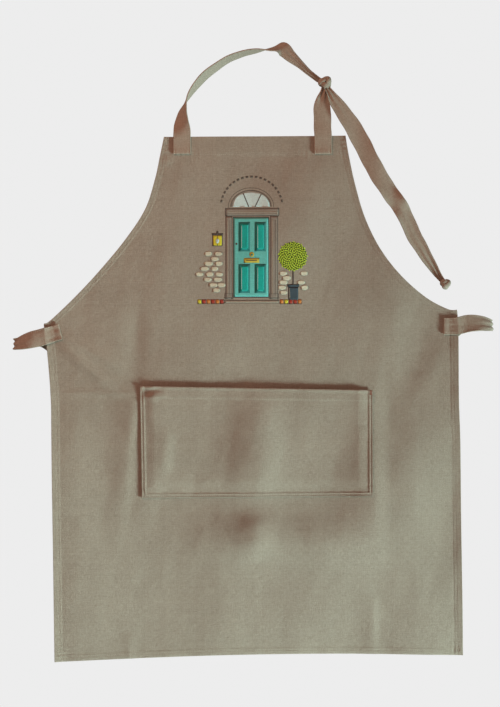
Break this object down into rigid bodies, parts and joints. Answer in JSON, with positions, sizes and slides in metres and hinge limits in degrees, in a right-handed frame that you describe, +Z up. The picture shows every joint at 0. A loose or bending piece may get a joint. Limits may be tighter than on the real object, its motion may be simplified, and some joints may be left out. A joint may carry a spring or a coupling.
{
  "type": "bib apron",
  "caption": "Canvas bib apron with a wide patch pocket, a knotted neck strap and a waist tie at each side, hanging by its neck loop.",
  "frame": {"origin": "under the crown of the neck loop, where a hook or peg bears", "axes": "+Z up, the front faces -Y, +X towards the side with the knot"},
  "size_m": [0.8259, 0.0522, 1.0644],
  "materials": {
    "canvas": "plain-woven taupe canvas, matt",
    "tape": "folded tape of the same canvas, matt",
    "thread": "spun sewing thread, slightly paler than the canvas"
  },
  "bodies": {
    "neck_loop": {"neck_strap_long": "tape", "neck_strap_short": "tape", "neck_knot": "tape"},
    "apron": {"apron_panel": "canvas", "bib_top_hem": "canvas", "left_armhole_hem": "canvas", "left_side_hem": "canvas", "right_armhole_hem": "canvas", "right_side_hem": "canvas", "bottom_hem": "canvas", "pocket_panel": "canvas", "pocket_top_hem": "canvas", "bib_top_stitching": "thread", "left_armhole_stitching": "thread", "left_side_stitching": "thread", "right_armhole_stitching": "thread", "right_side_stitching": "thread", "bottom_stitching": "thread", "pocket_hem_stitching": "thread", "pocket_seam_stitching": "thread", "pocket_left_bartack": "thread", "pocket_right_bartack": "thread", "left_neck_strap_end": "tape", "left_neck_strap_end_stitching": "thread", "right_neck_strap_end": "tape", "right_neck_strap_end_stitching": "thread", "left_tie_start": "tape", "right_tie_start": "tape", "left_tie_end": "tape", "left_tie_end_stitching": "thread", "right_tie_end": "tape", "right_tie_end_stitching": "thread"},
    "strap_tail": {"neck_strap_tail": "tape", "tail_end_knot": "tape"},
    "left_tie": {"left_waist_tie": "tape"},
    "right_tie": {"right_waist_tie": "tape"}
  },
  "joints": [
    {"name": "apron_swing", "type": "hinge", "parent": "neck_loop", "child": "apron", "pos_m": [-0.016, 0, -0.146], "axis": [1, 0, 0], "range_deg": [-30, 30]},
    {"name": "tail_swing", "type": "hinge", "parent": "neck_loop", "child": "strap_tail", "pos_m": [0.1054, -0.006, -0.0542], "axis": [0, -1, 0], "range_deg": [0, 50]},
    {"name": "left_tie_swing", "type": "hinge", "parent": "apron", "child": "left_tie", "pos_m": [-0.35614, 0.0185, -0.53013], "axis": [0, 1, 0], "range_deg": [-10, 60]},
    {"name": "right_tie_swing", "type": "hinge", "parent": "apron", "child": "right_tie", "pos_m": [0.32157, 0.0185, -0.50042], "axis": [0, -1, 0], "range_deg": [-10, 60]}
  ]
}
